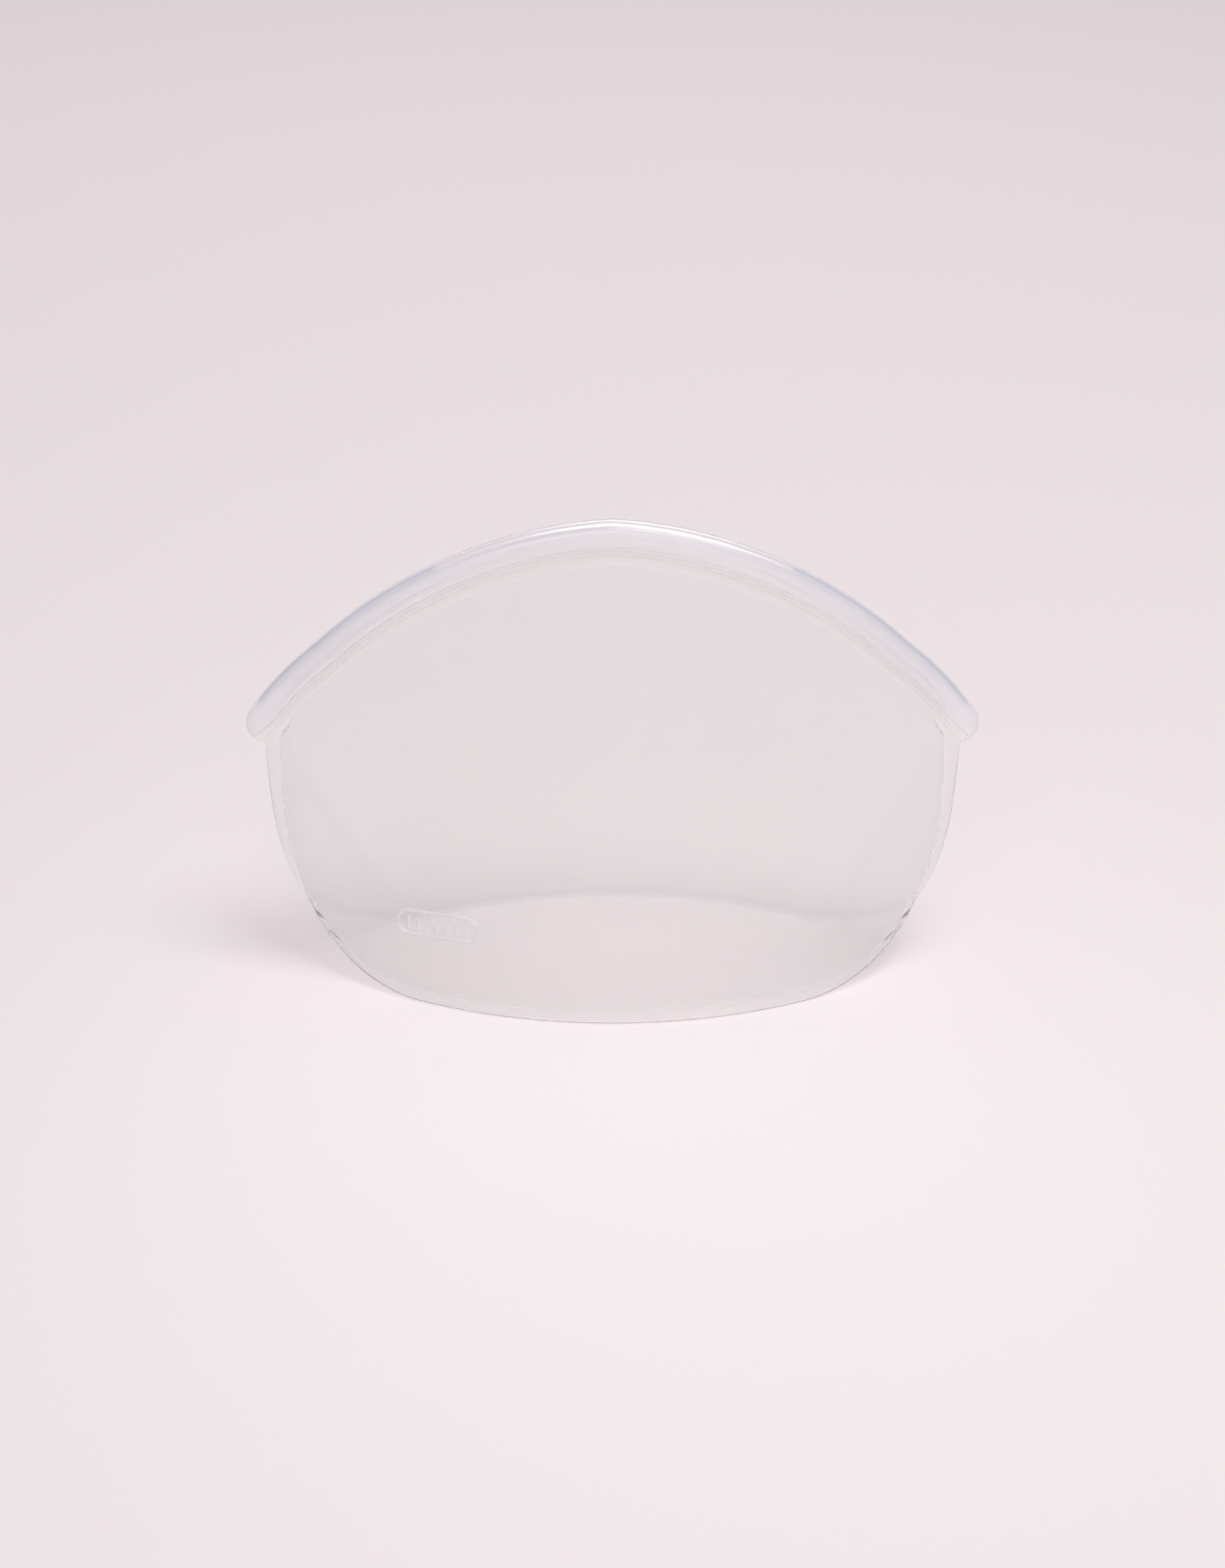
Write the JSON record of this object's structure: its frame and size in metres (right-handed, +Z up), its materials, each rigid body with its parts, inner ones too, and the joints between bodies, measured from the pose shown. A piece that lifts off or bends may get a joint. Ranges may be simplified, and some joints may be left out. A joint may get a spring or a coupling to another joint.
{
  "type": "reusable stand-up silicone food bag",
  "caption": "Clear silicone stand-up food bag with an arched press-to-close zip, end tabs and a boat-shaped base, shown zipped shut; the mouth opens",
  "frame": {"origin": "bottom centre of the bag, in the plane that it stands on", "axes": "+X along the zip to the right seen from the front, +Y from the front wall to the back wall, +Z up"},
  "size_m": [0.19, 0.076, 0.124],
  "materials": {
    "clear_wall": "thin clear silicone, satin",
    "clear_rail": "thick milky clear silicone, glossy"
  },
  "bodies": {
    "holder": {"base_panel": "clear_wall", "right_gusset": "clear_wall", "left_gusset": "clear_wall", "right_end_tab": "clear_rail", "left_end_tab": "clear_rail"},
    "front_side": {"front_panel": "clear_wall", "front_zip_rail": "clear_rail", "front_zip_bead": "clear_rail", "raised_mark": "clear_wall"},
    "back_side": {"back_panel": "clear_wall", "back_zip_rail": "clear_rail", "back_zip_lower_lip": "clear_rail", "back_zip_upper_lip": "clear_rail"}
  },
  "joints": [
    {"name": "front_opens", "type": "hinge", "parent": "holder", "child": "front_side", "pos_m": [0, -0.038, 0.00275], "axis": [1, 0, 0], "range_deg": [0, 14]},
    {"name": "back_opens", "type": "hinge", "parent": "holder", "child": "back_side", "pos_m": [0, 0.038, 0.00275], "axis": [-1, 0, 0], "range_deg": [0, 14]}
  ],
  "couplings": [
    {"joint": "back_opens", "follows": "front_opens", "ratio": 1}
  ]
}
